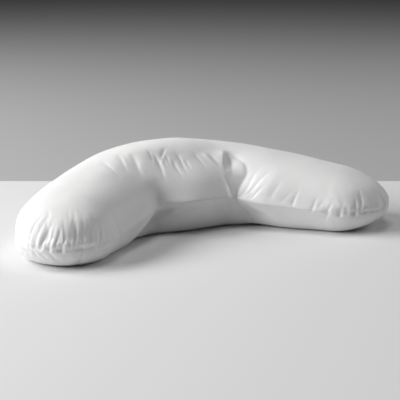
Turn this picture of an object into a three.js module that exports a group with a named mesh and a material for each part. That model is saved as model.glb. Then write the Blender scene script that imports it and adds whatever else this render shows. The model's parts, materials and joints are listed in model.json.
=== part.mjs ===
// V-shaped pillow: one filled bag, sewn from two equal cloth panels along a seam that runs all round.
// The pillow lies on its flattened underside. +X runs along its spread, +Y to the back of the V, +Z up,
// and the origin is the bottom centre of its box. All sizes are in millimetres.
import * as THREE from "three";

const degrees = THREE.MathUtils.degToRad;

// The spine is the line along the middle of the pillow, from the tip of one arm to the other.
const ARM_LENGTH = { left: 592, right: 626 }; // from the middle of the pillow to the tip of an arm
const END_LENGTH = 142; // length of the rounded end of an arm
const BEND_PLACE = 150; // along the spine, from the middle to where an arm turns off
const BEND_SPREAD = 75; // how gently it turns there
const BEND_ANGLE = { left: degrees(35.5), right: degrees(34) };
const ARM_CURL = { left: degrees(22), right: degrees(10) }; // further turn by the end of the arm

// A section every few hundred millimetres: its place as a share of each arm's spine, its half widths on the
// inner and outer sides of the V, the height of its crown, the height of its seam, the half width of its
// flattened underside as a share of its half width, and how much flatter its inner side slopes up to the crown.
const SECTIONS = [
  { place: -1.0, inner: 130, outer: 131, crown: 154, seam: 53, rest: 0.72, slant: 1.0 },
  { place: -0.6, inner: 150, outer: 143, crown: 183, seam: 71, rest: 0.74, slant: 1.0 },
  { place: -0.3, inner: 147, outer: 150, crown: 217, seam: 88, rest: 0.84, slant: 1.0 },
  { place: 0.0, inner: 170, outer: 163, crown: 232, seam: 95, rest: 0.8, slant: 1.4 },
  { place: 0.3, inner: 150, outer: 150, crown: 213, seam: 90, rest: 0.77, slant: 1.4 },
  { place: 0.6, inner: 150, outer: 145, crown: 189, seam: 79, rest: 0.7, slant: 1.15 },
  { place: 1.0, inner: 134, outer: 141, crown: 151, seam: 66, rest: 0.67, slant: 1.0 },
];
// The same at the tip of each rounded end
const TIPS = {
  left: { seam: 56, rest: 0.58 },
  right: { seam: 67, rest: 0.25 },
};
// How full the section is above the seam: 1 is an ellipse, less is fuller.
const ARM_FULLNESS = { side: 0.9, crown: 0.88 };
const TIP_FULLNESS = { side: 1.0, crown: 0.95 };
// The two panels meet in an edge that stands out along the arms.
const SEAM_EDGE = { height: 4, width: 14 };

// The folds that the seam and the bends draw into the cloth. `along` is the place on the seam, counted from
// the inner middle of the V towards the right arm, `from` and `to` are distances up the cloth from the seam,
// and `lean` is how far the fold shifts along for each millimetre up.
const FOLDS = [
  // the tuck at the right bend: its valley, its elbow, and the pleats that fan out of it
  { along: 126, from: -65, to: 122, lean: 0.2, depth: 19, width: 16 },
  { along: 227, from: 75, to: 155, lean: -0.75, depth: 9, width: 14 },
  { along: 137, from: -5, to: 122, lean: 0.4, depth: 4, width: 8 },
  { along: 148, from: -5, to: 108, lean: 0.65, depth: 4, width: 8 },
  { along: 162, from: -5, to: 70, lean: 0.8, depth: 4, width: 8 },
  // the tuck at the left bend, mostly below the seam
  { along: -80, from: -82, to: 50, lean: 1.3, depth: 14, width: 28 },
  // short creases below the crown, over the left bend, deepest at the top
  { along: -175, from: 215, to: 115, lean: 0.3, depth: 6, width: 10 },
  { along: -128, from: 198, to: 85, lean: 0.13, depth: 9, width: 12 },
  { along: -70, from: 170, to: 45, lean: 0.05, depth: 8, width: 11 },
  { along: -11, from: 150, to: 60, lean: -0.16, depth: 6, width: 9 },
  { along: 10, from: 155, to: 70, lean: -0.13, depth: 6, width: 9 },
  // gathers above the seam round the left end
  { along: -669, from: -8, to: 75, lean: 0.1, depth: 5, width: 8 },
  { along: -634, from: -8, to: 65, lean: 0.15, depth: 5, width: 8 },
  { along: -599, from: -8, to: 105, lean: 0.12, depth: 8, width: 8 },
  { along: -562, from: -8, to: 105, lean: 0.15, depth: 7, width: 8 },
  { along: -538, from: -10, to: 95, lean: 0.35, depth: 9, width: 8 },
  { along: -512, from: -10, to: 85, lean: 0.2, depth: 8, width: 8 },
  { along: -486, from: -10, to: 55, lean: 0.3, depth: 8, width: 8 },
  { along: -464, from: -8, to: 80, lean: 0.28, depth: 5, width: 8 },
  { along: -432, from: -70, to: 110, lean: 0.15, depth: 9, width: 8 },
  { along: -404, from: -8, to: 85, lean: 0.33, depth: 4, width: 8 },
  { along: -376, from: -8, to: 50, lean: 0.36, depth: 4, width: 8 },
  { along: -350, from: -8, to: 50, lean: 0.08, depth: 4, width: 8 },
  { along: -329, from: -8, to: 55, lean: -0.24, depth: 4, width: 8 },
  // slanting creases along the right arm, and gathers round its end
  { along: 216, from: 5, to: 100, lean: 0.37, depth: 4, width: 9 },
  { along: 282, from: -4, to: 70, lean: 0.19, depth: 5, width: 8 },
  { along: 337, from: -8, to: 55, lean: 0.18, depth: 6, width: 8 },
  { along: 376, from: -12, to: 40, lean: 0.47, depth: 7, width: 8 },
  { along: 411, from: -16, to: 40, lean: 0.29, depth: 8, width: 8 },
  { along: 453, from: -14, to: 65, lean: 0.15, depth: 9, width: 8 },
  { along: 482, from: -8, to: 35, lean: 0.3, depth: 4, width: 8 },
  { along: 512, from: -8, to: 35, lean: 0.6, depth: 5, width: 8 },
];
// Beyond those, the outer half of each end is gathered evenly: from, to and pitch run along the seam.
const OUTER_GATHERS = [
  { from: -695, to: -845, pitch: -25 },
  { from: 540, to: 765, pitch: 25 },
];
const OUTER_GATHER = { start: -10, reach: 65, depth: 4, width: 8 };
const UNEVENNESS = { share: 0.35, step: 2.4 }; // how much outer gathers vary, and the angle from one to the next
const FOLD_START = 0.2; // share of a fold's length over which it deepens
const SHOULDER = { height: 0.45, place: 1.7, width: 0.8 }; // of a fold's depth and width: the cloth beside it

// Fineness of the surface
const SPINE_STEPS = 1200;
const STATIONS = 80; // across the spine
const END_COLUMNS = 58; // fanned round each end
const UPPER_LEVELS = 11; // from the seam to the crown
const LOWER_LEVELS = 5; // from the seam to the underside

const smooth = THREE.MathUtils.smoothstep;

// A section value at a place, on a smooth curve through the table.
function section(name, place) {
  const last = SECTIONS.length - 1;
  const span = (i) => SECTIONS[i + 1].place - SECTIONS[i].place;
  const rise = (i) => (SECTIONS[i + 1][name] - SECTIONS[i][name]) / span(i);
  const slope = (i) => {
    if (i === 0) return 1.5 * rise(0) - 0.5 * slope(1);
    if (i === last) return 1.5 * rise(last - 1) - 0.5 * slope(last - 1);
    return (span(i - 1) * rise(i) + span(i) * rise(i - 1)) / (span(i - 1) + span(i));
  };
  let i = 0;
  while (i < last - 1 && place > SECTIONS[i + 1].place) i += 1;
  const t = THREE.MathUtils.clamp((place - SECTIONS[i].place) / span(i), 0, 1);
  const bulge = t * (1 - t) * span(i) * (slope(i) * (1 - t) - slope(i + 1) * t);
  return THREE.MathUtils.lerp(SECTIONS[i][name], SECTIONS[i + 1][name], t * t * (3 - 2 * t)) + bulge;
}

const SPINE_REACH = { left: ARM_LENGTH.left - END_LENGTH, right: ARM_LENGTH.right - END_LENGTH };

function spineHeading(distance) {
  const right = (BEND_ANGLE.right / 2) * (1 + Math.tanh((distance - BEND_PLACE) / BEND_SPREAD));
  const left = (BEND_ANGLE.left / 2) * (1 - Math.tanh((distance + BEND_PLACE) / BEND_SPREAD));
  const curl =
    distance < 0
      ? ARM_CURL.left * (distance / SPINE_REACH.left) ** 2
      : -ARM_CURL.right * (distance / SPINE_REACH.right) ** 2;
  return left - right + curl;
}

// The spine's point and heading at a place from -1, the left arm's end, to 1, the right arm's end.
function spineAt(place) {
  const distance = place * (place < 0 ? SPINE_REACH.left : SPINE_REACH.right);
  const step = distance / SPINE_STEPS;
  const point = new THREE.Vector2();
  for (let i = 0; i < SPINE_STEPS; i += 1) {
    const heading = spineHeading((i + 0.5) * step);
    point.x += Math.cos(heading) * step;
    point.y += Math.sin(heading) * step;
  }
  return { point, heading: spineHeading(distance) };
}

// A column is the run of cloth from the underside over the seam to the crown, in one upright plane.
function armColumn(station, side) {
  const { point, heading, place } = station;
  const out = new THREE.Vector2(-Math.sin(heading), Math.cos(heading));
  if (side === "inner") out.negate();
  const slant = side === "inner" ? section("slant", place) : 1;
  return {
    station,
    out,
    centre: point,
    half: section(side, place),
    crown: section("crown", place),
    seam: section("seam", place),
    rest: section("rest", place),
    fullness: { side: ARM_FULLNESS.side * slant, crown: ARM_FULLNESS.crown * slant },
    fall: 0,
  };
}

const lerp = THREE.MathUtils.lerp;

// How fast the crown falls towards the tip at an arm's end
function crownFall(end) {
  const place = end === "left" ? -1 : 1;
  const step = 0.01;
  return (section("crown", place) - section("crown", place * (1 - step))) / (step * SPINE_REACH[end]);
}

// A column of an arm's rounded end. The turn is -90 degrees on the inner side and 90 on the outer.
function endColumn(station, turn) {
  const end = station.place < 0 ? "left" : "right";
  const forward = end === "left" ? station.heading + Math.PI : station.heading;
  const towardsOuter = end === "left" ? -turn : turn;
  const ahead = Math.cos(turn);
  const nearTip = ahead * ahead;
  const side = section(turn < 0 ? "inner" : "outer", station.place);
  return {
    station,
    out: new THREE.Vector2(Math.cos(forward + towardsOuter), Math.sin(forward + towardsOuter)),
    centre: station.point,
    half: 1 / Math.hypot(ahead / END_LENGTH, Math.sin(turn) / side),
    crown: section("crown", station.place),
    seam: lerp(section("seam", station.place), TIPS[end].seam, nearTip),
    rest: lerp(section("rest", station.place), TIPS[end].rest, nearTip),
    fullness: {
      side: lerp(ARM_FULLNESS.side, TIP_FULLNESS.side, nearTip),
      crown: lerp(ARM_FULLNESS.crown, TIP_FULLNESS.crown, nearTip),
    },
    fall: crownFall(end) * ahead,
  };
}

// All columns in order along the seam: inner side to the right, right end, outer side back, left end.
function makeColumns(stations) {
  const columns = stations.map((station) => armColumn(station, "inner"));
  for (let i = 1; i < END_COLUMNS; i += 1) {
    columns.push(endColumn(stations.at(-1), Math.PI * (i / END_COLUMNS - 0.5)));
  }
  columns.push(...stations.toReversed().map((station) => armColumn(station, "outer")));
  for (let i = 1; i < END_COLUMNS; i += 1) {
    columns.push(endColumn(stations[0], Math.PI * (0.5 - i / END_COLUMNS)));
  }
  return columns;
}

const seamPoint = (column) => column.centre.clone().addScaledVector(column.out, column.half);

// Gives each column its distance along the seam from the inner middle, negative towards the left arm.
function measureSeam(columns, middle) {
  const lengths = columns.map((column, i) => {
    const next = columns[(i + 1) % columns.length];
    return seamPoint(column).distanceTo(seamPoint(next));
  });
  const total = lengths.reduce((sum, length) => sum + length, 0);
  let walked = 0;
  for (let i = 0; i < columns.length; i += 1) {
    const at = (middle + i) % columns.length;
    columns[at].along = walked > total / 2 ? walked - total : walked;
    walked += lengths[at];
  }
}

// The smooth profile of a column as points (outward, up), from the edge of the underside to below the crown.
function profileOf({ half, crown, seam, rest, fullness, fall }) {
  const points = [];
  const restHalf = half * rest;
  for (let i = LOWER_LEVELS; i > 0; i -= 1) {
    const angle = (Math.PI / 2) * (i / LOWER_LEVELS);
    const outward = restHalf + (half - restHalf) * Math.cos(angle);
    points.push(new THREE.Vector2(outward, seam * (1 - Math.sin(angle))));
  }
  for (let i = 0; i < UPPER_LEVELS; i += 1) {
    const angle = (Math.PI / 2) * (i / UPPER_LEVELS);
    const outward = half * Math.cos(angle) ** fullness.side;
    const height = crown - seam + fall * outward;
    points.push(new THREE.Vector2(outward, seam + height * Math.sin(angle) ** fullness.crown));
  }
  return points;
}

function outerGathers() {
  return OUTER_GATHERS.flatMap(({ from, to, pitch }) => {
    const count = Math.round((to - from) / pitch) + 1;
    return Array.from({ length: count }, (_, i) => {
      const { start, reach, depth, width } = OUTER_GATHER;
      const uneven = 1 + UNEVENNESS.share * Math.sin(UNEVENNESS.step * i);
      return { along: from + i * pitch, from: start, to: reach * uneven, lean: 0, depth: depth * uneven, width };
    });
  });
}

const ALL_FOLDS = [...FOLDS, ...outerGathers()];

// How far the folds move the cloth out, at a place along the seam and a distance up from it.
function foldOffset(along, up) {
  let offset = 0;
  for (const fold of ALL_FOLDS) {
    const share = (up - fold.from) / (fold.to - fold.from);
    if (share <= 0 || share >= 1) continue;
    const depth = fold.depth * smooth(share, 0, FOLD_START) * (1 - smooth(share, FOLD_START, 1));
    const across = Math.abs(along - fold.along - fold.lean * up) / fold.width;
    const beside = (across - SHOULDER.place) / SHOULDER.width;
    offset += depth * (SHOULDER.height * Math.exp(-beside * beside) - Math.exp(-across * across));
  }
  return offset;
}

// The column's points with its folds, as places in space.
function foldedColumn(column) {
  const profile = profileOf(column);
  const rise = [0];
  for (let i = 1; i < profile.length; i += 1) {
    rise.push(rise[i - 1] + profile[i].distanceTo(profile[i - 1]));
  }
  return profile.map((point, i) => {
    const before = profile[Math.max(i - 1, 0)];
    const after = profile[Math.min(i + 1, profile.length - 1)];
    const normal = new THREE.Vector2(after.y - before.y, before.x - after.x).normalize();
    const up = rise[i] - rise[LOWER_LEVELS];
    const edge = SEAM_EDGE.height * Math.exp(-Math.abs(up) / SEAM_EDGE.width);
    const offset = i === 0 ? 0 : edge + foldOffset(column.along, up);
    const outward = point.x + normal.x * offset;
    const place = column.centre.clone().addScaledVector(column.out, outward);
    return new THREE.Vector3(place.x, place.y, Math.max(point.y + normal.y * offset, 0));
  });
}

// The pillow's closed surface. Each column runs from the underside's middle line up to the crown line.
function pillowGeometry() {
  const stations = Array.from({ length: STATIONS + 1 }, (_, i) => {
    const place = (2 * i) / STATIONS - 1;
    return { ...spineAt(place), place };
  });
  const columns = makeColumns(stations);
  measureSeam(columns, STATIONS / 2);

  const points = [];
  const addPoint = (point) => points.push(point) - 1;
  for (const station of stations) {
    station.under = addPoint(new THREE.Vector3(station.point.x, station.point.y, 0));
    station.top = addPoint(new THREE.Vector3(station.point.x, station.point.y, section("crown", station.place)));
  }
  const runs = columns.map((column) => [
    column.station.under,
    ...foldedColumn(column).map(addPoint),
    column.station.top,
  ]);

  const triangles = [];
  const addTriangle = (a, b, c) => {
    if (a !== b && b !== c && c !== a) triangles.push(a, b, c);
  };
  runs.forEach((run, i) => {
    const next = runs[(i + 1) % runs.length];
    for (let level = 0; level < run.length - 1; level += 1) {
      const [a, b, c, d] = [run[level], next[level], next[level + 1], run[level + 1]];
      if (points[a].distanceTo(points[c]) < points[b].distanceTo(points[d])) {
        addTriangle(a, b, c);
        addTriangle(a, c, d);
      } else {
        addTriangle(a, b, d);
        addTriangle(b, c, d);
      }
    }
  });

  const geometry = new THREE.BufferGeometry().setFromPoints(points).setIndex(triangles);
  geometry.computeBoundingBox();
  const centre = geometry.boundingBox.getCenter(new THREE.Vector3());
  geometry.translate(-centre.x, -centre.y, 0);
  geometry.computeVertexNormals();
  return geometry;
}

const cotton = new THREE.MeshStandardMaterial({ color: 0xf2f2f0, roughness: 0.85, metalness: 0 });

const pillow = new THREE.Mesh(pillowGeometry(), cotton);
pillow.name = "pillow";

const part = new THREE.Group();
part.add(pillow);

export default part;
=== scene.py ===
"""A V-shaped pillow of white cotton, lying on a pale floor.

Two equal panels are cut flat, sewn together along their outline and filled by a cloth simulation.
The cloth is then drawn taut where the filling holds it, its mesh is made finer, and the seam, the tucks,
the creases and the gathers are pressed into it.

Sizes are in metres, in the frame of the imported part. Places and folds on the cloth are in millimetres.
"""

import json
import math

import bpy
import numpy as np
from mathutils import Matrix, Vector, noise
from mathutils.geometry import delaunay_2d_cdt

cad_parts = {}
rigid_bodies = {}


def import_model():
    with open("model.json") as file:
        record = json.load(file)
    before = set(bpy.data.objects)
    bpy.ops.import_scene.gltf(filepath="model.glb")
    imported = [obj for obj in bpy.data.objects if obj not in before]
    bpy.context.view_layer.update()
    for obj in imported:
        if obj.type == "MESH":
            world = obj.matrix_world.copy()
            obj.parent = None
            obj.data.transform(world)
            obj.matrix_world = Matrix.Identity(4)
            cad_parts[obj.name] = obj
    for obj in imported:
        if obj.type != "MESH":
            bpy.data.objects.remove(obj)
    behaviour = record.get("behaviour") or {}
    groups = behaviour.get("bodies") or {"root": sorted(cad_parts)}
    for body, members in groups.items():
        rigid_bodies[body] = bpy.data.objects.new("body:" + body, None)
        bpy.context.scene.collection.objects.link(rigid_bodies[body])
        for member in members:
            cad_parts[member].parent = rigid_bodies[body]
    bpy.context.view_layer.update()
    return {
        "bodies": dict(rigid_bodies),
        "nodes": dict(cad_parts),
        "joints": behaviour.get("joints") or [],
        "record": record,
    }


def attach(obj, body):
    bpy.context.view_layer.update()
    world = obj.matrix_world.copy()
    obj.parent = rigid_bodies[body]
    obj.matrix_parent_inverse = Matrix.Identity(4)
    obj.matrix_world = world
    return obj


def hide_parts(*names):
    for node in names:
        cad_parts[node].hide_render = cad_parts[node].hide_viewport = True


MM = 0.001
QUARTER = math.pi / 2
TINY = 1e-9  # the shortest length that is divided by

# The spine is the line along the middle of the pillow, from the left arm's end to the right arm's end.
SPINE_MIDDLE = (-0.0300, 0.0988)  # its middle in the part's frame
ARM_LENGTH = {"left": 0.592, "right": 0.626}  # from the middle to the tip
END_LENGTH = 0.142  # from the spine's end to the tip
BEND_PLACE = 0.150  # from the middle to each bend
BEND_SPREAD = 0.075
BEND_ANGLE = {"left": math.radians(35.5), "right": math.radians(34)}
ARM_CURL = {"left": math.radians(22), "right": math.radians(10)}
SPINE_POINTS = 4001

# Sections: place along each arm's spine, half widths inside and outside the V, crown and seam heights,
# the half width of the flattened underside as a share of the half width, and how much flatter the inner
# side slopes up to the crown than the outer side.
SECTIONS = {
    "place": (-1.0, -0.6, -0.3, 0.0, 0.3, 0.6, 1.0),
    "inner": (0.130, 0.150, 0.147, 0.170, 0.150, 0.150, 0.134),
    "outer": (0.131, 0.143, 0.150, 0.163, 0.150, 0.145, 0.141),
    "crown": (0.154, 0.183, 0.217, 0.232, 0.213, 0.189, 0.151),
    "seam": (0.053, 0.071, 0.088, 0.095, 0.090, 0.079, 0.066),
    "rest": (0.72, 0.74, 0.84, 0.80, 0.77, 0.70, 0.67),
    "slant": (1.0, 1.0, 1.0, 1.4, 1.4, 1.15, 1.0),
}
TIP_SEAM = {"left": 0.056, "right": 0.067}
TIP_REST = {"left": 0.58, "right": 0.25}
# How full the section is above the seam, along the arms and at the tips: 1 is an ellipse, less is fuller.
FULLNESS = {"side": (0.9, 1.0), "crown": (0.88, 0.95)}
PROFILE_POINTS = 48
SLOPE_STEP = 0.01  # the share of an arm over which the crown's slope at its end is measured

# The flat pattern: how much of each bend was cut into the cloth, and its width against the filled one's.
CUT_BEND = {"left": 0.64, "right": 0.62}
CUT_CURL = 0.7
CUT_WIDTH = 0.97

# The mesh of the simulated cloth, whose edges are halved afterwards. It is finest along the seam: out to
# each distance from it, a pitch as a share of the seam's.
SEAM_PITCH = 0.0054
PITCH_BANDS = ((0.028, 1.0), (0.065, 1.25), (1.0, 1.4))
ROOM = {"seam": 0.6, "band": 0.3}  # left free inside the seam and each band, as shares of the pitch
SIDE_POINTS = {"cut": 3000, "filled": 2000}  # to each side and end, where the outline is walked
SEARCH = {"stride": 4, "batch": 4000, "steps": 3}  # for the place along the spine nearest to a point
WITHIN_OUTLINE = 1  # the triangulation's choice of faces
MERGE_DISTANCE = 1e-7

# The simulation
MORPH_FRAMES = 8  # the flat panels are drawn to the filled shape over these frames
EASE_FRAMES = 4  # then the filling's hold eases over these
FRAMES = 24
CLOTH = {"tension": 300, "compression": 9, "shear": 50, "bending": 0.02, "damping": 5, "mass": 0.02}
CLOTH_QUALITY = 5
PRESSURE = 150
SUPPORT_GROUP = "support"
SUPPORT = {"crown": 0.35, "beside": 0.12, "seam": 0.65}  # how firmly the filling holds the cloth
SUPPORT_STIFFNESS = {"filling": 20, "filled": 1}
# Where the crown's and the underside's hold begins, as a share of the way from the spine to the seam, and
# over what share it grows.
HOLD = {"over": (0.85, 0.5), "under": (0.9, 0.3)}
ROUGHNESS = {"size": 0.002, "from": 0.45, "seed": 3}  # small unevenness that lets the cloth buckle
PINCH = {"depth": 0.004, "width": 0.012}  # how far the seam is drawn in
PINCH_MIDDLE = {"share": 0.4, "fade": (90, 300)}  # less so by the inner middle
LAYERS = {"upper": 0.1, "seam": 0.099, "lower": 0.098}  # heights at which the flat panels start
# What the cloth settles on: its size, its height, its skin, and the gap that the cloth keeps from it.
TABLE = {"size": 4, "height": -0.0015, "skin": 0.001, "gap": 0.0015}

# How much of the simulated shape is kept: of its broad swelling, and of its wrinkles round the ends and
# along the arms.
KEPT = {"swell": 0.3, "left": 0.28, "right": 0.12, "arms": 0.02}
SMOOTHING = {"steps": 50, "share": 0.8}  # what parts the swelling from the wrinkles
# Wrinkles reach up and down from the seam, further round the left and right ends, and then fade.
WRINKLES = {"reach": 30, "left": 55, "right": 30, "fade": 45}
LOWER_WRINKLES = {"less": 0.6, "fade": 12}
WRINKLES_FROM = (100, 200)  # along the seam from the inner middle, where there are none

# Stretches of the seam, by distance from the inner middle: an arm's end starts and stops between these
# places, its front fades out between these, and the left one's fades in.
END = {"start": (330, 430), "stop": (930, 1050)}
FRONT_OUT = (480, 620)
LEFT_FRONT_IN = (270, 360)

# The seam stands out as an edge along the arms. Everywhere it lies in a groove, deeper on the fronts of the
# ends, where the cloth puffs up above it.
EDGE = {"height": 9, "fade": 13}
GROOVE = {"depth": 1.0, "front": 0.4, "width": 3.5}
PUFF = {"front": 2, "left_front": 3, "rise": 14, "width": 10}

# The filling's lumps: their height, how far below the seam they fade out, and their size in metres.
LUMPS = {"height": 1.2, "under": 60, "size": 0.07}
# How much further the filling swells the crown than the sections, at places along the arms, and the share
# of the way from the seam to the spine over which that grows.
SWELL = {
    "place": (-1.0, -0.6, -0.3, 0.0, 0.3, 0.6, 1.0),
    "height": (9, 9, 7, 0, 0, 2, 5),
}
SWELL_FADE = 0.4

# The shape of a fold: where a gather and a crease are deepest along their length, how much it narrows to
# its end, how round the bottom of its valley is against its half width, how much wider its left side is
# than its right side, and how its line wavers.
GATHER_DEEPEST = 0.14
CREASE_DEEPEST = 0.3
FOLD_NARROWING = 0.5
FOLD_ROUND = 0.3
FOLD_SKEW = 0.35
WAVER = {"size": 1.5, "length": 14}

# Folds that the seam gathers: place along the seam from the inner middle, where they start and end up
# from the seam, lean along the seam for each millimetre up, depth and half width.
GATHERS = (
    # round the left end
    (-669, -8, 75, 0.10, 5, 5),
    (-634, -8, 60, 0.15, 4, 5),
    (-599, -6, 105, 0.12, 8, 6),
    (-556, -8, 105, 0.17, 7, 6),
    (-540, -10, 95, 0.35, 10, 7),
    (-516, -10, 85, 0.17, 8, 6),
    (-487, -10, 45, 0.30, 9, 6),
    (-470, 0, 80, 0.28, 4, 6),
    (-441, -5, 75, -0.10, 4, 6),
    (-432, -70, 110, 0.15, 9, 5),
    (-405, -6, 85, 0.33, 3, 6),
    (-377, -6, 50, 0.36, 3.5, 5),
    (-351, -6, 50, 0.08, 3.5, 5),
    (-333, -8, 55, -0.24, 3.5, 5),
    (-296, -6, 45, -0.08, 2.5, 5),
    # along the right arm and round its end
    (216, 10, 100, 0.37, 2.5, 9),
    (247, 5, 75, 0.69, 1.5, 7),
    (282, 0, 65, 0.19, 4, 5),
    (337, -8, 50, 0.18, 4, 5),
    (349, 5, 45, 0.50, 2, 5),
    (376, -6, 35, 0.47, 5, 5),
    (381, 2, -30, 0.42, 4, 5),
    (412, -16, 32, 0.29, 7, 5),
    (430, -6, 30, 0.20, 3, 5),
    (454, -14, 50, 0.00, 9, 5),
    (464, -2, 85, 0.25, 6, 5),
    (481, -8, 30, 0.30, 3, 5),
    (503, -8, 35, 0.30, 3, 5),
    (525, -10, 25, 1.00, 3, 5),
)
PRESSED = 0.55  # how deep they are pressed in again after the simulation, as a share
# Gathers of the outer seam: from and to places along the seam, pitch, reach up from it, and depth. Then
# what they share: start, lean, half width, and how they vary from one to the next.
OUTER_GATHERS = (
    (-695, -845, -25, 65, 4),
    (540, 765, 25, 65, 4),
    (-870, -1360, -33, 45, 1.6),
    (790, 1360, 31, 45, 1.6),
)
OUTER_GATHER = {"start": -12, "lean": 0.1, "width": 6, "stray": 9, "uneven": 0.4, "step": 2.4}
# Creases, in the same columns as the gathers. A depth below 0 is a ridge.
CREASES = (
    # below the crown, from the left bend to the right one
    (-198, 225, 115, 0.25, 2, 6),
    (-175, 215, 120, 0.30, 3, 6),
    (-152, 205, 140, 0.22, 1.5, 4),
    (-128, 192, 85, 0.13, 5, 8),
    (-107, 182, 115, 0.17, 2.5, 4),
    (-90, 160, 110, 0.15, 2, 4),
    (-71, 178, 50, 0.00, 4.5, 6),
    (-127, 186, 108, 0.48, 3, 4.5),
    (-52, 148, 95, 0.00, 2, 4),
    (-30, 166, 95, -0.10, 2, 4),
    (-10, 142, 55, -0.16, 2.5, 4.5),
    (7, 168, 70, -0.13, 3, 4),
    (27, 140, 85, -0.18, 2, 4),
    (75, 162, 75, -0.25, 2, 6),
    (116, 155, 80, -0.37, -3, 6),
    (126, 150, 85, -0.36, 2, 5),
    # beside the tuck at the right bend
    (92, 165, 60, 0.04, -6, 13),
    (113, 0, 75, -0.28, -2, 4),
    # fanning out of the tuck at the right bend
    (137, 4, 125, 0.38, 3, 6),
    (145, 4, 110, 0.63, 3.5, 6),
    (152, 2, 45, 0.70, 2, 4),
    (161, 4, 60, 0.78, 3, 4.5),
    (130, 0, 32, 0.85, 2, 3.5),
    (139, 0, 38, 0.85, 2, 3.5),
    (158, 0, 30, 1.10, 2, 3.5),
    # between the left end's gathers
    (-650, -5, 70, 0.12, 2.5, 4.5),
    (-617, -5, 85, 0.14, 3, 4.5),
    (-577, -5, 100, 0.16, 3.5, 4.5),
    (-528, -6, 75, 0.24, 3.5, 4.5),
    (-501, -6, 65, 0.22, 3.5, 4.5),
    (-455, -6, 60, 0.10, 3, 4.5),
    (-419, -6, 65, 0.20, 2.5, 4.5),
    (-391, -6, 60, 0.34, 3, 4.5),
    (-364, -6, 55, 0.20, 3, 4.5),
    (-342, -6, 50, -0.05, 3, 4.5),
    (-315, -6, 45, -0.15, 2.5, 4.5),
    # on the left end's lower panel
    (-599, 2, -60, -0.50, 4, 5),
    (-571, 2, -60, -0.80, 4, 5),
    (-553, 2, -50, -1.00, 3, 5),
    (-522, 2, -60, -0.70, 3, 5),
)

# The tucks at the inner bends: the arm they are on, right 1 or left -1; distances up from the seam; where
# the valley lies along the seam there, the edge of the facet that slopes into it, and its depth; then the
# width of the arm's side of the valley, and how far the arm bulges beyond it as a share of the depth.
TUCKS = (
    # the right bend, up to the fold under the crown
    {
        "arm": 1,
        "rise": (-65, -48, 0, 10, 39, 62, 90, 114, 136, 160),
        "valley": (163, 155, 125, 126, 132, 139, 146, 139, 119, 104),
        "edge": (120, 118, 112, 112, 99, 95, 112, 118, 108, 98),
        "depth": (4, 13, 10, 11, 16, 18, 13, 8, 5, 0),
        "wall": 80,
        "bulge": 0.0,
    },
    # the peak of cloth beside it
    {
        "arm": 1,
        "rise": (68, 86, 110, 137, 157),
        "valley": (115, 113, 110, 107, 104),
        "edge": (95, 96, 97, 98, 98),
        "depth": (0, 5, 9, 7, 0),
        "wall": 26,
        "bulge": 0.2,
    },
    # the left bend
    {
        "arm": -1,
        "rise": (-95, -59, -32, -8, 8),
        "valley": (-225, -186, -134, -88, -80),
        "edge": (-120, -100, -65, -30, -30),
        "depth": (6, 18, 20, 6, 0),
        "wall": 45,
        "bulge": 0.2,
    },
)
# How hollow a tuck's facet and wall are, 1 being flat, and where the arm bulges, in widths of the wall.
TUCK_SHAPE = {"facet": 1.15, "wall": 1.5, "bulge": 1.3}

# Broad hollows: places along the seam and up from it, depth, and half sizes along and up.
HOLLOWS = (
    # over the inner bends and under the left arm's crown
    (-30, 118, 12, 105, 58),
    (-140, 85, 11, 65, 65),
    # under the middle and under the right bend
    (30, -62, 7, 90, 30),
    (178, -60, 12, 45, 30),
)
HOLLOW_FADE = 0.35  # the share of the way from the spine to the seam over which they grow

# The cotton: its colour and how much that varies, and what the shader takes as it is.
COTTON = {"colour": (0.88, 0.88, 0.875), "varies": 0.03, "roughness": 0.85}
COTTON_FINISH = {"Sheen Weight": 0.12, "Sheen Roughness": 0.4, "Specular IOR Level": 0.25}
RUMPLE = {"scale": 26, "detail": 3, "depth": 0.002, "strength": 0.25}
WEAVE = {"pitch": 0.0007, "waver": 0.6, "depth": 0.0002, "strength": 0.3}
CUT_PLACE = "cut_place"  # each point's place on the cut panel
WAVE_LENGTH = math.pi / 10  # of a band texture at scale 1

# The floor is pale under the pillow, up to a line behind it, and grey beyond.
FLOOR = {"size": (8, 4), "colour": (0.8, 0.8, 0.8)}
FLOOR_BEHIND = 0.43  # from the middle of the spine to the pale floor's back edge
STUDIO_FLOOR = {"size": (40, 40), "colour": (0.47, 0.47, 0.47)}
STUDIO_HEIGHT = -0.004
FLOOR_ROUGHNESS = 0.9

# Soft square lamps: name, place, and power in watts. A faint white sky lights the rest.
LAMPS = (
    ("window", (-5.42, 0.47, 2.59), 248),
    ("softbox", (-3.98, 2.30, 3.91), 175),
    ("ceiling", (0.0, 0.0, 6.05), 76),
    ("fill", (5.3, 0.0, 2.87), 62),
)
LAMP_SIZE = 2.6
LAMP_TARGET = (0, 0, 0.08)
SKY_COLOUR = (1, 1, 1, 1)
SKY_STRENGTH = 0.01

# The camera stands where the photo's did: its place, its turn from the pillow's front, and its tilt down.
CAMERA_PLACE = (-0.950, -2.517, 0.805)
CAMERA_TURN = 0.365
CAMERA_TILT = 0.2651
CAMERA_LENS = 90.6  # millimetres


# Curves and tables


def smooth(value, start, end):
    """From 0 at the start to 1 at the end, level at both."""
    share = np.clip((value - start) / (end - start), 0, 1)
    return share * share * (3 - 2 * share)


def by_side(table, along):
    """The left or the right value of a table: places to the left of the middle are negative."""
    return np.where(along < 0, table["left"], table["right"])


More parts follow.
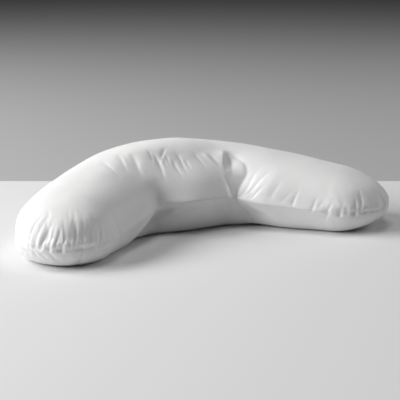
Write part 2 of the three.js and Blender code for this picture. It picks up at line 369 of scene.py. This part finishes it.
def on_curve(places, values, place):
    """The value at a place, on a smooth curve through a table."""
    places = np.array(places)
    values = np.array(values)
    spans = np.diff(places)
    rises = np.diff(values) / spans
    slopes = np.zeros(len(places))
    slopes[1:-1] = (spans[:-1] * rises[1:] + spans[1:] * rises[:-1]) / (spans[:-1] + spans[1:])
    slopes[[0, -1]] = (3 * rises[[0, -1]] - slopes[[1, -2]]) / 2
    place = np.clip(place, places[0], places[-1])
    row = np.clip(np.searchsorted(places, place, side="right") - 1, 0, len(spans) - 1)
    share = (place - places[row]) / spans[row]
    bulge = share * (1 - share) * spans[row] * (slopes[row] * (1 - share) - slopes[row + 1] * share)
    return values[row] + (values[row + 1] - values[row]) * share * share * (3 - 2 * share) + bulge


def on_table(name, place):
    return on_curve(SECTIONS["place"], SECTIONS[name], place)


# The filled shape


class Spine:
    """The pillow's middle line. The flat pattern has the same line with less of each bend."""

    reach = {side: ARM_LENGTH[side] - END_LENGTH for side in ARM_LENGTH}

    def __init__(self, bend, curl):
        self.distance = np.linspace(-self.reach["left"], self.reach["right"], SPINE_POINTS)
        self.heading = self.headings(self.distance, bend, curl)
        middle = (self.heading[1:] + self.heading[:-1]) / 2
        step = np.diff(self.distance)
        self.x = self.from_middle(np.cos(middle) * step)
        self.y = self.from_middle(np.sin(middle) * step)

    def headings(self, distance, bend, curl):
        right = 1 + np.tanh((distance - BEND_PLACE) / BEND_SPREAD)
        left = 1 - np.tanh((distance + BEND_PLACE) / BEND_SPREAD)
        bends = bend["left"] * BEND_ANGLE["left"] * left - bend["right"] * BEND_ANGLE["right"] * right
        left_curl = ARM_CURL["left"] * (distance / self.reach["left"]) ** 2
        right_curl = -ARM_CURL["right"] * (distance / self.reach["right"]) ** 2
        return bends / 2 + curl * np.where(distance < 0, left_curl, right_curl)

    def from_middle(self, steps):
        line = np.concatenate([[0], np.cumsum(steps)])
        return line - np.interp(0, self.distance, line)

    def at(self, distance):
        return [np.interp(distance, self.distance, line) for line in (self.x, self.y, self.heading)]

    def outward(self, distance, turn):
        """The spine's points and the outward directions of columns of cloth there."""
        x, y, heading = self.at(distance)
        angle = np.where(distance < 0, heading + math.pi - turn, heading + turn)
        return x, y, np.cos(angle), np.sin(angle)


FILLED = Spine(bend={"left": 1, "right": 1}, curl=1)
FLAT = Spine(bend=CUT_BEND, curl=CUT_CURL)


def on_arm(distance):
    """Places along the arms, from -1 at the left end of the spine to 1 at its right end."""
    return distance / by_side(Spine.reach, distance)


def end_slopes():
    """How fast the crown falls towards the tip at each arm's end."""
    left = (on_table("crown", -1) - on_table("crown", SLOPE_STEP - 1)) / (SLOPE_STEP * Spine.reach["left"])
    right = (on_table("crown", 1) - on_table("crown", 1 - SLOPE_STEP)) / (SLOPE_STEP * Spine.reach["right"])
    return {"left": left, "right": right}


CROWN_SLOPE = end_slopes()


def column(distance, turn):
    """The half width, crown, seam, rest and slant of columns.

    A column is the run of cloth from the spine out to the seam. Its turn is -90 degrees on the inner side
    of the V, 90 on the outer side, and in between round an arm's end.
    """
    place = on_arm(distance)
    side = np.where(turn < 0, on_table("inner", place), on_table("outer", place))
    ahead = np.cos(turn)
    half = 1 / np.hypot(ahead / END_LENGTH, np.sin(turn) / side)
    seam = on_table("seam", place)
    rest = on_table("rest", place)
    seam += (by_side(TIP_SEAM, distance) - seam) * ahead**2
    rest += (by_side(TIP_REST, distance) - rest) * ahead**2
    slant = np.where(turn < 0, on_table("slant", place), 1)
    return half, on_table("crown", place), seam, rest, slant


def profile(distance, turn, upper):
    """Points (outward, up) of each column's cloth, from the spine out to the seam."""
    half, crown, seam, rest, slant = (value[:, None] for value in column(distance, turn))
    angle = np.linspace(QUARTER, 0, PROFILE_POINTS)[None, :]
    ahead = np.cos(turn)[:, None]
    if upper:
        side, top = (slant * arm + (tip - slant * arm) * ahead**2 for arm, tip in FULLNESS.values())
        outward = half * np.cos(angle).clip(0) ** side
        fall = by_side(CROWN_SLOPE, distance)[:, None] * ahead * outward
        return outward, seam + (crown - seam + fall) * np.sin(angle) ** top
    rest *= half
    outward = np.concatenate([np.zeros_like(half), rest + (half - rest) * np.cos(angle)], axis=1)
    height = np.concatenate([np.zeros_like(half), seam * (1 - np.sin(angle))], axis=1)
    return outward, height


def lengths_along(outward, height):
    steps = np.hypot(np.diff(outward, axis=1), np.diff(height, axis=1))
    return np.concatenate([np.zeros((len(steps), 1)), np.cumsum(steps, axis=1)], axis=1)


def cloth_length(distance, turn, upper):
    return lengths_along(*profile(distance, turn, upper))[:, -1]


def filled_points(distance, turn, share, upper):
    """Points of the filled shape at shares of each column's length."""
    outward, height = profile(distance, turn, upper)
    length = lengths_along(outward, height)
    want = share * length[:, -1]
    low = np.clip((length < want[:, None]).sum(axis=1) - 1, 0, length.shape[1] - 2)
    row = np.arange(len(low))
    span = np.maximum(length[row, low + 1] - length[row, low], TINY)
    part = (want - length[row, low]) / span
    out = outward[row, low] + part * (outward[row, low + 1] - outward[row, low])
    up = height[row, low] + part * (height[row, low + 1] - height[row, low])
    x, y, along_x, along_y = FILLED.outward(distance, turn)
    return np.stack([x + along_x * out, y + along_y * out, up], axis=1)


# The cut panels


def cut_length(distance, turn):
    """Width of the flat panel from the spine to its edge: both panels are cut alike."""
    both = cloth_length(distance, turn, True) + cloth_length(distance, turn, False)
    return CUT_WIDTH * both / 2


def round_the_seam(count):
    """Columns all round: inner side to the right, right end, outer side back, left end."""
    left, right = -Spine.reach["left"], Spine.reach["right"]
    run = np.linspace(left, right, count)
    fan = np.linspace(-QUARTER, QUARTER, count)
    distance = np.concatenate([run, np.full(count, right), run[::-1], np.full(count, left)])
    turn = np.concatenate([np.full(count, -QUARTER), fan, np.full(count, QUARTER), fan[::-1]])
    return distance, turn


def pattern_edge():
    """Columns at even steps along the flat panel's edge, and their points."""
    distance, turn = round_the_seam(SIDE_POINTS["cut"])
    length = cut_length(distance, turn)
    x, y, out_x, out_y = FLAT.outward(distance, turn)
    points = np.stack([x + out_x * length, y + out_y * length], axis=1)
    steps = np.linalg.norm(np.roll(points, -1, axis=0) - points, axis=1)
    walked = np.concatenate([[0], np.cumsum(steps)])
    count = round(walked[-1] / SEAM_PITCH)
    at = np.searchsorted(walked, np.arange(count) * walked[-1] / count, side="right") - 1
    return distance[at], turn[at], points[at]


def nearest_on_spine(x, y):
    """Distances along the flat spine to about the nearest of its points."""
    nearest = np.empty(len(x), int)
    coarse = np.arange(0, SPINE_POINTS, SEARCH["stride"])
    for start in range(0, len(x), SEARCH["batch"]):
        part = slice(start, start + SEARCH["batch"])
        gap = (x[part, None] - FLAT.x[coarse]) ** 2 + (y[part, None] - FLAT.y[coarse]) ** 2
        nearest[part] = coarse[gap.argmin(axis=1)]
    return FLAT.distance[nearest]


def columns_at(points):
    """The column and the distance from the spine of points on the flat panel."""
    x, y = points.T
    distance = nearest_on_spine(x, y)
    left, right = FLAT.distance[0], FLAT.distance[-1]
    for _ in range(SEARCH["steps"]):
        spine_x, spine_y, heading = FLAT.at(distance)
        ahead = (x - spine_x) * np.cos(heading) + (y - spine_y) * np.sin(heading)
        distance = np.clip(distance + ahead, left, right)
    spine_x, spine_y, heading = FLAT.at(distance)
    ahead = (x - spine_x) * np.cos(heading) + (y - spine_y) * np.sin(heading)
    side = (y - spine_y) * np.cos(heading) - (x - spine_x) * np.sin(heading)
    at_end = (distance <= left) | (distance >= right)
    turn = np.where(at_end, np.arctan2(side, np.abs(ahead)), np.where(side < 0, -QUARTER, QUARTER))
    return distance, turn, np.hypot(x - spine_x, y - spine_y)


def grid_points(low, high, pitch):
    """A triangular grid over a box."""
    rows = np.arange(low[1], high[1], pitch * math.sqrt(3) / 2)
    columns = np.arange(low[0], high[0], pitch)
    x, y = np.meshgrid(columns, rows)
    x[1::2] += pitch / 2
    return np.stack([x.ravel(), y.ravel()], axis=1)


def pattern_inside(edge):
    """Columns, points and shares inside the flat panel, in bands that grow coarser away from the seam."""
    found = []
    nearest = ROOM["seam"] * SEAM_PITCH
    for reach, coarseness in PITCH_BANDS:
        pitch = coarseness * SEAM_PITCH
        points = grid_points(edge.min(axis=0), edge.max(axis=0), pitch)
        distance, turn, from_spine = columns_at(points)
        length = cut_length(distance, turn)
        inside = (length - from_spine > nearest) & (length - from_spine <= reach)
        found.append(np.column_stack([points, distance, turn, from_spine / length])[inside])
        nearest = reach + ROOM["band"] * pitch
    x, y, distance, turn, share = np.concatenate(found).T
    return distance, turn, np.stack([x, y], axis=1), share


class Cloth:
    """Both panels, joined at the seam: flat points, filled points, faces, and each point's place."""

    def __init__(self, flat, distance, turn, share, upper, on_seam, faces):
        self.flat = flat
        self.distance = distance
        self.turn = turn
        self.share = share
        self.upper = upper
        self.on_seam = on_seam
        self.faces = faces
        top = filled_points(distance, turn, share, True)
        bottom = filled_points(distance, turn, share, False)
        self.filled = np.where(upper[:, None], top, bottom)
        self.along = self.along_seam() / MM
        self.rise = self.up_from_seam() / MM

    def along_seam(self):
        """Distance along the filled seam from the inner middle, negative towards the left arm."""
        count = SIDE_POINTS["filled"]
        distance, turn = round_the_seam(count)
        half = column(distance, turn)[0]
        x, y, out_x, out_y = FILLED.outward(distance, turn)
        x, y = x + out_x * half, y + out_y * half
        walked = np.concatenate([[0], np.cumsum(np.hypot(np.diff(x), np.diff(y)))])
        total = walked[-1]
        walked -= np.interp(0, distance[:count], walked[:count])
        inner, right, outer, left = (slice(i * count, (i + 1) * count) for i in range(4))
        on_inner = np.interp(self.distance, distance[inner], walked[inner])
        on_outer = np.interp(self.distance, distance[outer][::-1], walked[outer][::-1])
        along = np.where(self.turn < 0, on_inner, on_outer)
        at_right = self.distance >= Spine.reach["right"]
        at_left = self.distance <= -Spine.reach["left"]
        along = np.where(at_right, np.interp(self.turn, turn[right], walked[right]), along)
        along = np.where(at_left, np.interp(self.turn, turn[left][::-1], walked[left][::-1]), along)
        return np.where(along > total / 2, along - total, along)

    def up_from_seam(self):
        """Distance up the cloth from the seam, negative on the lower panel."""
        above = cloth_length(self.distance, self.turn, True)
        below = cloth_length(self.distance, self.turn, False)
        return (1 - self.share) * np.where(self.upper, above, -below)


def panel_triangles(flat, seam_count):
    rim = [(i, (i + 1) % seam_count) for i in range(seam_count)]
    points = [Vector(point) for point in flat]
    _, _, triangles, *_ = delaunay_2d_cdt(points, rim, [], WITHIN_OUTLINE, MERGE_DISTANCE)
    return np.array([tuple(triangle) for triangle in triangles])


def sew_panels():
    """An upper and a lower panel, cut alike and joined along their edge."""
    edge_distance, edge_turn, edge = pattern_edge()
    inner_distance, inner_turn, inside, inner_share = pattern_inside(edge)
    count = len(edge)
    flat = np.concatenate([edge, inside])
    distance = np.concatenate([edge_distance, inner_distance])
    turn = np.concatenate([edge_turn, inner_turn])
    share = np.concatenate([np.ones(count), inner_share])
    panel = panel_triangles(flat, count)
    under = np.concatenate([np.arange(count), np.arange(len(inside)) + len(flat)])
    faces = np.concatenate([panel, under[panel[:, ::-1]]])
    number = np.arange(len(flat) + len(inside))
    places = [np.concatenate([values, values[count:]]) for values in (flat, distance, turn, share)]
    return Cloth(*places, number < len(flat), number < count, faces)


# Meshes


def edges_of(faces):
    pairs = np.concatenate([faces[:, [0, 1]], faces[:, [1, 2]], faces[:, [2, 0]]])
    return np.unique(np.sort(pairs, axis=1), axis=0)


def normals_of(points, faces):
    corner = points[faces]
    face_normals = np.cross(corner[:, 1] - corner[:, 0], corner[:, 2] - corner[:, 0])
    normals = np.zeros_like(points)
    for i in range(3):
        for axis in range(3):
            normals[:, axis] += np.bincount(faces[:, i], face_normals[:, axis], len(points))
    return normals / np.linalg.norm(normals, axis=1)[:, None]


def push_out(cloth, points, offset):
    """Points moved outwards from the filled shape, but not through what the pillow lies on."""
    pushed = points + normals_of(cloth.filled, cloth.faces) * offset[:, None]
    pushed[:, 2] = pushed[:, 2].clip(0)
    return pushed


def points_of(mesh):
    points = np.empty(len(mesh.vertices) * 3, np.float32)
    mesh.vertices.foreach_get("co", points)
    return points.reshape(-1, 3).astype(float)


def make_mesh(name, points, faces):
    mesh = bpy.data.meshes.new(name)
    mesh.from_pydata(points.tolist(), [], faces.tolist())
    mesh.update()
    return mesh


def add_object(name, data):
    added = bpy.data.objects.new(name, data)
    bpy.context.scene.collection.objects.link(added)
    return added


# Folds of the cloth


def outer_gathers():
    """Rows of folds along the outer seam, each a little different from the last."""
    same = OUTER_GATHER
    rows = []
    for first, last, pitch, reach, depth in OUTER_GATHERS:
        for i, place in enumerate(range(first, last, pitch)):
            uneven = 1 + same["uneven"] * math.sin(same["step"] * i)
            along = place + same["stray"] * math.cos(same["step"] * i)
            row = (along, same["start"], reach * uneven, same["lean"], depth * uneven, same["width"])
            rows.append(row)
    return rows


def fold_offsets(cloth, folds, deepest):
    """How far folds move each point of the cloth outwards."""
    offset = np.zeros(len(cloth.along))
    for row, (along, start, end, lean, depth, width) in enumerate(folds):
        share = (cloth.rise - start) / (end - start)
        deep = depth * smooth(share, 0, deepest) * (1 - smooth(share, deepest, 1))
        waver = WAVER["size"] * np.sin(cloth.rise / WAVER["length"] + row)
        half = width * (1 - FOLD_NARROWING * share.clip(0, 1))
        across = (cloth.along - along - lean * cloth.rise - waver) / half
        across /= np.where(across < 0, 1 + FOLD_SKEW, 1 - FOLD_SKEW)
        offset -= deep * np.exp(FOLD_ROUND - np.hypot(across, FOLD_ROUND))
    return offset * MM


# Filling the panels


def filling_target(cloth):
    """The filled shape with its seam drawn in, its gathers begun, and a little unevenness."""
    random = np.random.default_rng(ROUGHNESS["seed"])
    uneven = random.normal(size=len(cloth.rise)) * ROUGHNESS["size"]
    middle = 1 - smooth(np.abs(cloth.along), *PINCH_MIDDLE["fade"])
    depth = PINCH["depth"] * (1 + (PINCH_MIDDLE["share"] - 1) * middle)
    pinch = depth * np.exp(-((cloth.rise * MM / PINCH["width"]) ** 2))
    begun = fold_offsets(cloth, GATHERS, GATHER_DEEPEST)
    return push_out(cloth, cloth.filled, uneven * smooth(cloth.share, ROUGHNESS["from"], 1) + begun - pinch)


def support_weights(cloth):
    """How firmly the filling holds each point: most on the crown and the underside, and along the seam."""
    over, under = (np.clip((start - cloth.share) / span, 0, 1) for start, span in HOLD.values())
    held = np.where(cloth.upper, over, under)
    weights = SUPPORT["beside"] + (SUPPORT["crown"] - SUPPORT["beside"]) * held
    weights[cloth.on_seam] = SUPPORT["seam"]
    return weights


def flat_panels(cloth, target):
    """The sewn panels, lying flat, with a shape key that draws them to the filled shape."""
    layer = np.where(cloth.upper, LAYERS["upper"], LAYERS["lower"])
    layer[cloth.on_seam] = LAYERS["seam"]
    piece = add_object("panels", make_mesh("panels", np.column_stack([cloth.flat, layer]), cloth.faces))
    piece.shape_key_add(name="flat")
    key = piece.shape_key_add(name="filled")
    key.data.foreach_set("co", target.astype(np.float32).ravel())
    key.value = 0
    key.keyframe_insert("value", frame=1)
    key.value = 1
    key.keyframe_insert("value", frame=MORPH_FRAMES)
    group = piece.vertex_groups.new(name=SUPPORT_GROUP)
    for i, weight in enumerate(support_weights(cloth)):
        group.add([i], float(weight), "REPLACE")
    return piece


def add_cloth(piece):
    modifier = piece.modifiers.new("cloth", "CLOTH")
    settings = modifier.settings
    settings.quality = CLOTH_QUALITY
    settings.mass = CLOTH["mass"]
    settings.tension_stiffness = CLOTH["tension"]
    settings.compression_stiffness = CLOTH["compression"]
    settings.shear_stiffness = CLOTH["shear"]
    settings.bending_stiffness = CLOTH["bending"]
    settings.tension_damping = CLOTH["damping"]
    settings.compression_damping = CLOTH["damping"]
    settings.shear_damping = CLOTH["damping"]
    settings.use_pressure = True
    settings.uniform_pressure_force = PRESSURE
    settings.vertex_group_mass = SUPPORT_GROUP
    settings.effector_weights.gravity = 0
    settings.pin_stiffness = SUPPORT_STIFFNESS["filling"]
    settings.keyframe_insert("pin_stiffness", frame=MORPH_FRAMES)
    settings.pin_stiffness = SUPPORT_STIFFNESS["filled"]
    settings.keyframe_insert("pin_stiffness", frame=MORPH_FRAMES + EASE_FRAMES)
    modifier.collision_settings.distance_min = TABLE["gap"]
    modifier.collision_settings.use_self_collision = False
    modifier.point_cache.frame_end = FRAMES + 1


def add_table():
    bpy.ops.mesh.primitive_plane_add(size=TABLE["size"], location=(0, 0, TABLE["height"]))
    table = bpy.context.object
    table.modifiers.new("collision", "COLLISION")
    table.collision.thickness_outer = TABLE["skin"]
    return table


def fill(cloth, target):
    """Draws the sewn flat panels to the filled shape and lets them settle: the simulated points."""
    piece = flat_panels(cloth, target)
    add_cloth(piece)
    table = add_table()
    scene = bpy.context.scene
    for frame in range(1, FRAMES + 1):
        scene.frame_set(frame)
    settled = piece.evaluated_get(bpy.context.evaluated_depsgraph_get())
    points = points_of(settled.data)
    bpy.data.objects.remove(piece)
    bpy.data.objects.remove(table)
    scene.frame_set(1)
    return points


# Drawing the cloth taut


def neighbour_mean(values, edges):
    first, second = edges.T
    count = len(values)
    shared = np.bincount(edges.ravel(), minlength=count)
    total = np.empty_like(values)
    for axis in range(values.shape[1]):
        total[:, axis] = np.bincount(first, values[second, axis], count)
        total[:, axis] += np.bincount(second, values[first, axis], count)
    return total / shared[:, None]


def at_ends(cloth):
    """How far round an arm's end a point lies, from 0 along the arms to 1."""
    along = np.abs(cloth.along)
    return smooth(along, *END["start"]) * (1 - smooth(along, *END["stop"]))


def kept_wrinkles(cloth):
    """The share of the simulated wrinkles that stays: most by the seam round the ends."""
    ends = at_ends(cloth)
    keep = KEPT["arms"] + (by_side(KEPT, cloth.along) - KEPT["arms"]) * ends
    reach = WRINKLES["reach"] + by_side(WRINKLES, cloth.along) * ends
    keep *= 1 - smooth(np.abs(cloth.rise), reach, reach + WRINKLES["fade"])
    keep *= 1 - LOWER_WRINKLES["less"] * smooth(-cloth.rise, 0, LOWER_WRINKLES["fade"])
    return keep * smooth(np.abs(cloth.along), *WRINKLES_FROM)


def draw_taut(cloth, points):
    """How far the cloth lies from the filled shape once its swelling and wrinkles are drawn taut."""
    edges = edges_of(cloth.faces)
    shift = points - cloth.filled
    swelling = shift.copy()
    for _ in range(SMOOTHING["steps"]):
        swelling += SMOOTHING["share"] * (neighbour_mean(swelling, edges) - swelling)
    return KEPT["swell"] * swelling + kept_wrinkles(cloth)[:, None] * (shift - swelling)


def halve_edges(cloth, shift):
    """The cloth with each face cut in four, halfway along its edges, and its points' shifts."""
    edges = edges_of(cloth.faces)
    first, second = edges.T
    flat = (cloth.flat[first] + cloth.flat[second]) / 2
    distance, turn, from_spine = columns_at(flat)
    on_seam = cloth.on_seam[first] & cloth.on_seam[second]
    upper = cloth.upper[first] & cloth.upper[second]
    share = np.where(on_seam, 1, (from_spine / cut_length(distance, turn)).clip(0, 1))
    count = len(cloth.flat)
    order = first * count + second

    def halfway(one, other):
        return count + np.searchsorted(order, np.minimum(one, other) * count + np.maximum(one, other))

    a, b, c = cloth.faces.T
    ab, bc, ca = halfway(a, b), halfway(b, c), halfway(c, a)
    quarters = ((a, ab, ca), (ab, b, bc), (ca, bc, c), (ab, bc, ca))
    faces = np.concatenate([np.stack(corners, axis=1) for corners in quarters])
    before = (cloth.flat, cloth.distance, cloth.turn, cloth.share, cloth.upper, cloth.on_seam)
    added = (flat, distance, turn, share, upper, on_seam)
    finer = Cloth(*(np.concatenate(both) for both in zip(before, added)), faces)
    return finer, np.concatenate([shift, (shift[first] + shift[second]) / 2])


# What is pressed into the cloth


def tuck_offsets(cloth, tuck):
    """A tuck: a facet that slopes in to a valley, and beyond it the arm's side, which may bulge."""

    def curve(name):
        return on_curve(tuck["rise"], tuck[name], cloth.rise)

    valley = curve("valley")
    beyond = (cloth.along - valley) * tuck["arm"]
    facet = np.clip(1 + beyond / np.abs(valley - curve("edge")), 0, 1) ** TUCK_SHAPE["facet"]
    width = tuck["wall"]
    wall = (1 - beyond / width).clip(0, 1) ** TUCK_SHAPE["wall"]
    wall -= tuck["bulge"] * np.exp(-(((beyond - TUCK_SHAPE["bulge"] * width) / width) ** 2))
    return -curve("depth") * MM * np.where(beyond < 0, facet, wall)


def hollow_offsets(cloth):
    """Broad hollows, which end at the crown."""
    offset = np.zeros(len(cloth.along))
    for along, rise, depth, width, height in HOLLOWS:
        across = (cloth.along - along) / width
        up = (cloth.rise - rise) / height
        offset -= depth * np.exp(-(across**2) - up**2)
    return offset * smooth(cloth.share, 0, HOLLOW_FADE)


def lump_offsets(cloth):
    """How far the loose filling makes the cloth swell and sink, less so on the underside."""
    lumps = np.array([noise.noise(Vector(point)) for point in cloth.filled / LUMPS["size"]])
    return LUMPS["height"] * lumps * (1 - smooth(-cloth.rise, 0, LUMPS["under"]))


def swell_offsets(cloth):
    """How far the filling swells the upper cloth beyond the sections, most at the crown."""
    height = on_curve(SWELL["place"], SWELL["height"], on_arm(cloth.distance))
    return np.where(cloth.upper, height * smooth(1 - cloth.share, 0, SWELL_FADE), 0)


def seam_offsets(cloth):
    """The seam: an edge along the arms, and a groove with puffed cloth above it round the ends."""
    ends = at_ends(cloth)
    front = 1 - smooth(np.abs(cloth.along), *FRONT_OUT)
    left_front = smooth(-cloth.along, *LEFT_FRONT_IN) * front
    edge = EDGE["height"] * (1 - ends) * np.exp(-np.abs(cloth.rise) / EDGE["fade"])
    groove_depth = GROOVE["depth"] + GROOVE["front"] * ends * front
    groove = groove_depth * np.exp(-((cloth.rise / GROOVE["width"]) ** 2))
    puff_height = PUFF["front"] * ends * front + PUFF["left_front"] * left_front
    puff = puff_height * np.exp(-(((cloth.rise - PUFF["rise"]) / PUFF["width"]) ** 2))
    return edge - groove + puff


def press_folds(cloth, points):
    """The cloth's points with its seam, swellings, hollows, tucks, creases and gathers."""
    offset = seam_offsets(cloth) + swell_offsets(cloth) + lump_offsets(cloth) + hollow_offsets(cloth)
    offset *= MM
    offset += sum(tuck_offsets(cloth, tuck) for tuck in TUCKS)
    offset += fold_offsets(cloth, CREASES, CREASE_DEEPEST)
    offset += fold_offsets(cloth, outer_gathers(), GATHER_DEEPEST)
    offset += PRESSED * fold_offsets(cloth, GATHERS, GATHER_DEEPEST)
    return push_out(cloth, points, offset)


# The pillow


def pillow_shape():
    """The finished cloth and its points."""
    cloth = sew_panels()
    points = filling_target(cloth)
    points = fill(cloth, points)
    cloth, shift = halve_edges(cloth, draw_taut(cloth, points))
    points = press_folds(cloth, cloth.filled + shift)
    points[:, :2] += SPINE_MIDDLE
    return cloth, points


def make_pillow(material):
    cloth, points = pillow_shape()
    mesh = make_mesh("pillow_cover", points, cloth.faces)
    mesh.polygons.foreach_set("use_smooth", np.ones(len(mesh.polygons), bool))
    mesh.materials.append(material)
    cut_place = mesh.attributes.new(CUT_PLACE, "FLOAT_VECTOR", "POINT")
    on_panel = np.column_stack([cloth.flat, np.zeros(len(cloth.flat))])
    cut_place.data.foreach_set("vector", on_panel.astype(np.float32).ravel())
    return add_object("pillow_cover", mesh)


# The cotton


def new_material(name, colour, roughness):
    material = bpy.data.materials.new(name)
    material.use_nodes = True
    shader = material.node_tree.nodes["Principled BSDF"]
    shader.inputs["Base Color"].default_value = (*colour, 1)
    shader.inputs["Roughness"].default_value = roughness
    return material, shader


def add_bump(tree, height, relief, before=None):
    """The normals of a relief's bump, on top of those before it."""
    bump = tree.nodes.new("ShaderNodeBump")
    bump.inputs["Distance"].default_value = relief["depth"]
    bump.inputs["Strength"].default_value = relief["strength"]
    tree.links.new(height, bump.inputs["Height"])
    if before:
        tree.links.new(before, bump.inputs["Normal"])
    return bump.outputs["Normal"]


def add_rumple(tree):
    """A soft unevenness over the whole cloth."""
    place = tree.nodes.new("ShaderNodeTexCoord")
    rumple = tree.nodes.new("ShaderNodeTexNoise")
    rumple.inputs["Scale"].default_value = RUMPLE["scale"]
    rumple.inputs["Detail"].default_value = RUMPLE["detail"]
    tree.links.new(place.outputs["Object"], rumple.inputs["Vector"])
    return rumple.outputs["Fac"]


def add_threads(tree, cut, direction):
    """Bands across the cut panel: the warp or the weft of the weave."""
    threads = tree.nodes.new("ShaderNodeTexWave")
    threads.bands_direction = direction
    threads.inputs["Scale"].default_value = WAVE_LENGTH / WEAVE["pitch"]
    threads.inputs["Distortion"].default_value = WEAVE["waver"]
    tree.links.new(cut, threads.inputs["Vector"])
    return threads.outputs["Fac"]


def add_weave(tree):
    """A plain weave, laid out on the cut panels."""
    cut = tree.nodes.new("ShaderNodeAttribute")
    cut.attribute_name = CUT_PLACE
    weave = tree.nodes.new("ShaderNodeMath")
    weave.operation = "MULTIPLY"
    for direction, factor in zip("XY", weave.inputs):
        tree.links.new(add_threads(tree, cut.outputs["Vector"], direction), factor)
    return weave.outputs["Value"]


def add_tone(tree, varying):
    """The cotton's colour, a little darker and lighter from place to place."""
    tone = tree.nodes.new("ShaderNodeValToRGB")
    for element, change in zip(tone.color_ramp.elements, (-COTTON["varies"], COTTON["varies"])):
        element.color = (*(part + change for part in COTTON["colour"]), 1)
    tree.links.new(varying, tone.inputs["Fac"])
    return tone.outputs["Color"]


def cotton_material():
    """White cotton: matt, with a faint sheen, a soft rumple and a fine plain weave."""
    material, shader = new_material("white_cotton", COTTON["colour"], COTTON["roughness"])
    for name, value in COTTON_FINISH.items():
        shader.inputs[name].default_value = value
    tree = material.node_tree
    rumple = add_rumple(tree)
    rumpled = add_bump(tree, rumple, RUMPLE)
    woven = add_bump(tree, add_weave(tree), WEAVE, rumpled)
    tree.links.new(woven, shader.inputs["Normal"])
    tree.links.new(add_tone(tree, rumple), shader.inputs["Base Color"])
    return material


# Floor, light and camera


def add_plane(name, look, place, turn):
    x, y = (side / 2 for side in look["size"])
    corners = np.array([(-x, -y, 0), (x, -y, 0), (x, y, 0), (-x, y, 0)])
    mesh = make_mesh(name, corners, np.array([(0, 1, 2, 3)]))
    material, _ = new_material(name, look["colour"], FLOOR_ROUGHNESS)
    mesh.materials.append(material)
    plane = add_object(name, mesh)
    plane.location = place
    plane.rotation_euler = (0, 0, turn)


def add_floor():
    """The pale floor's back edge lies across the camera's view."""
    away = np.array([math.sin(CAMERA_TURN), math.cos(CAMERA_TURN)])
    middle = np.array(SPINE_MIDDLE) + away * (FLOOR_BEHIND - FLOOR["size"][1] / 2)
    add_plane("floor", FLOOR, (*middle, 0), -CAMERA_TURN)
    add_plane("studio_floor", STUDIO_FLOOR, (0, 0, STUDIO_HEIGHT), 0)


def add_lamp(name, place, power):
    lamp = add_object(name, bpy.data.lights.new(name, "AREA"))
    lamp.data.size = LAMP_SIZE
    lamp.data.energy = power
    lamp.location = place
    lamp.rotation_euler = (Vector(LAMP_TARGET) - Vector(place)).to_track_quat("-Z", "Y").to_euler()


def add_light():
    for name, place, power in LAMPS:
        add_lamp(name, place, power)
    world = bpy.data.worlds.new("studio")
    world.use_nodes = True
    sky = world.node_tree.nodes["Background"]
    sky.inputs["Color"].default_value = SKY_COLOUR
    sky.inputs["Strength"].default_value = SKY_STRENGTH
    bpy.context.scene.world = world


def add_camera():
    camera = add_object("camera", bpy.data.cameras.new("camera"))
    camera.data.lens = CAMERA_LENS
    camera.location = CAMERA_PLACE
    camera.rotation_euler = (QUARTER - CAMERA_TILT, 0, -CAMERA_TURN)
    bpy.context.scene.camera = camera


def main():
    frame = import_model()
    pillow = make_pillow(cotton_material())
    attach(pillow, "root")
    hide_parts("pillow")
    add_floor()
    add_light()
    add_camera()
    bpy.context.scene.view_settings.view_transform = "Standard"


main()
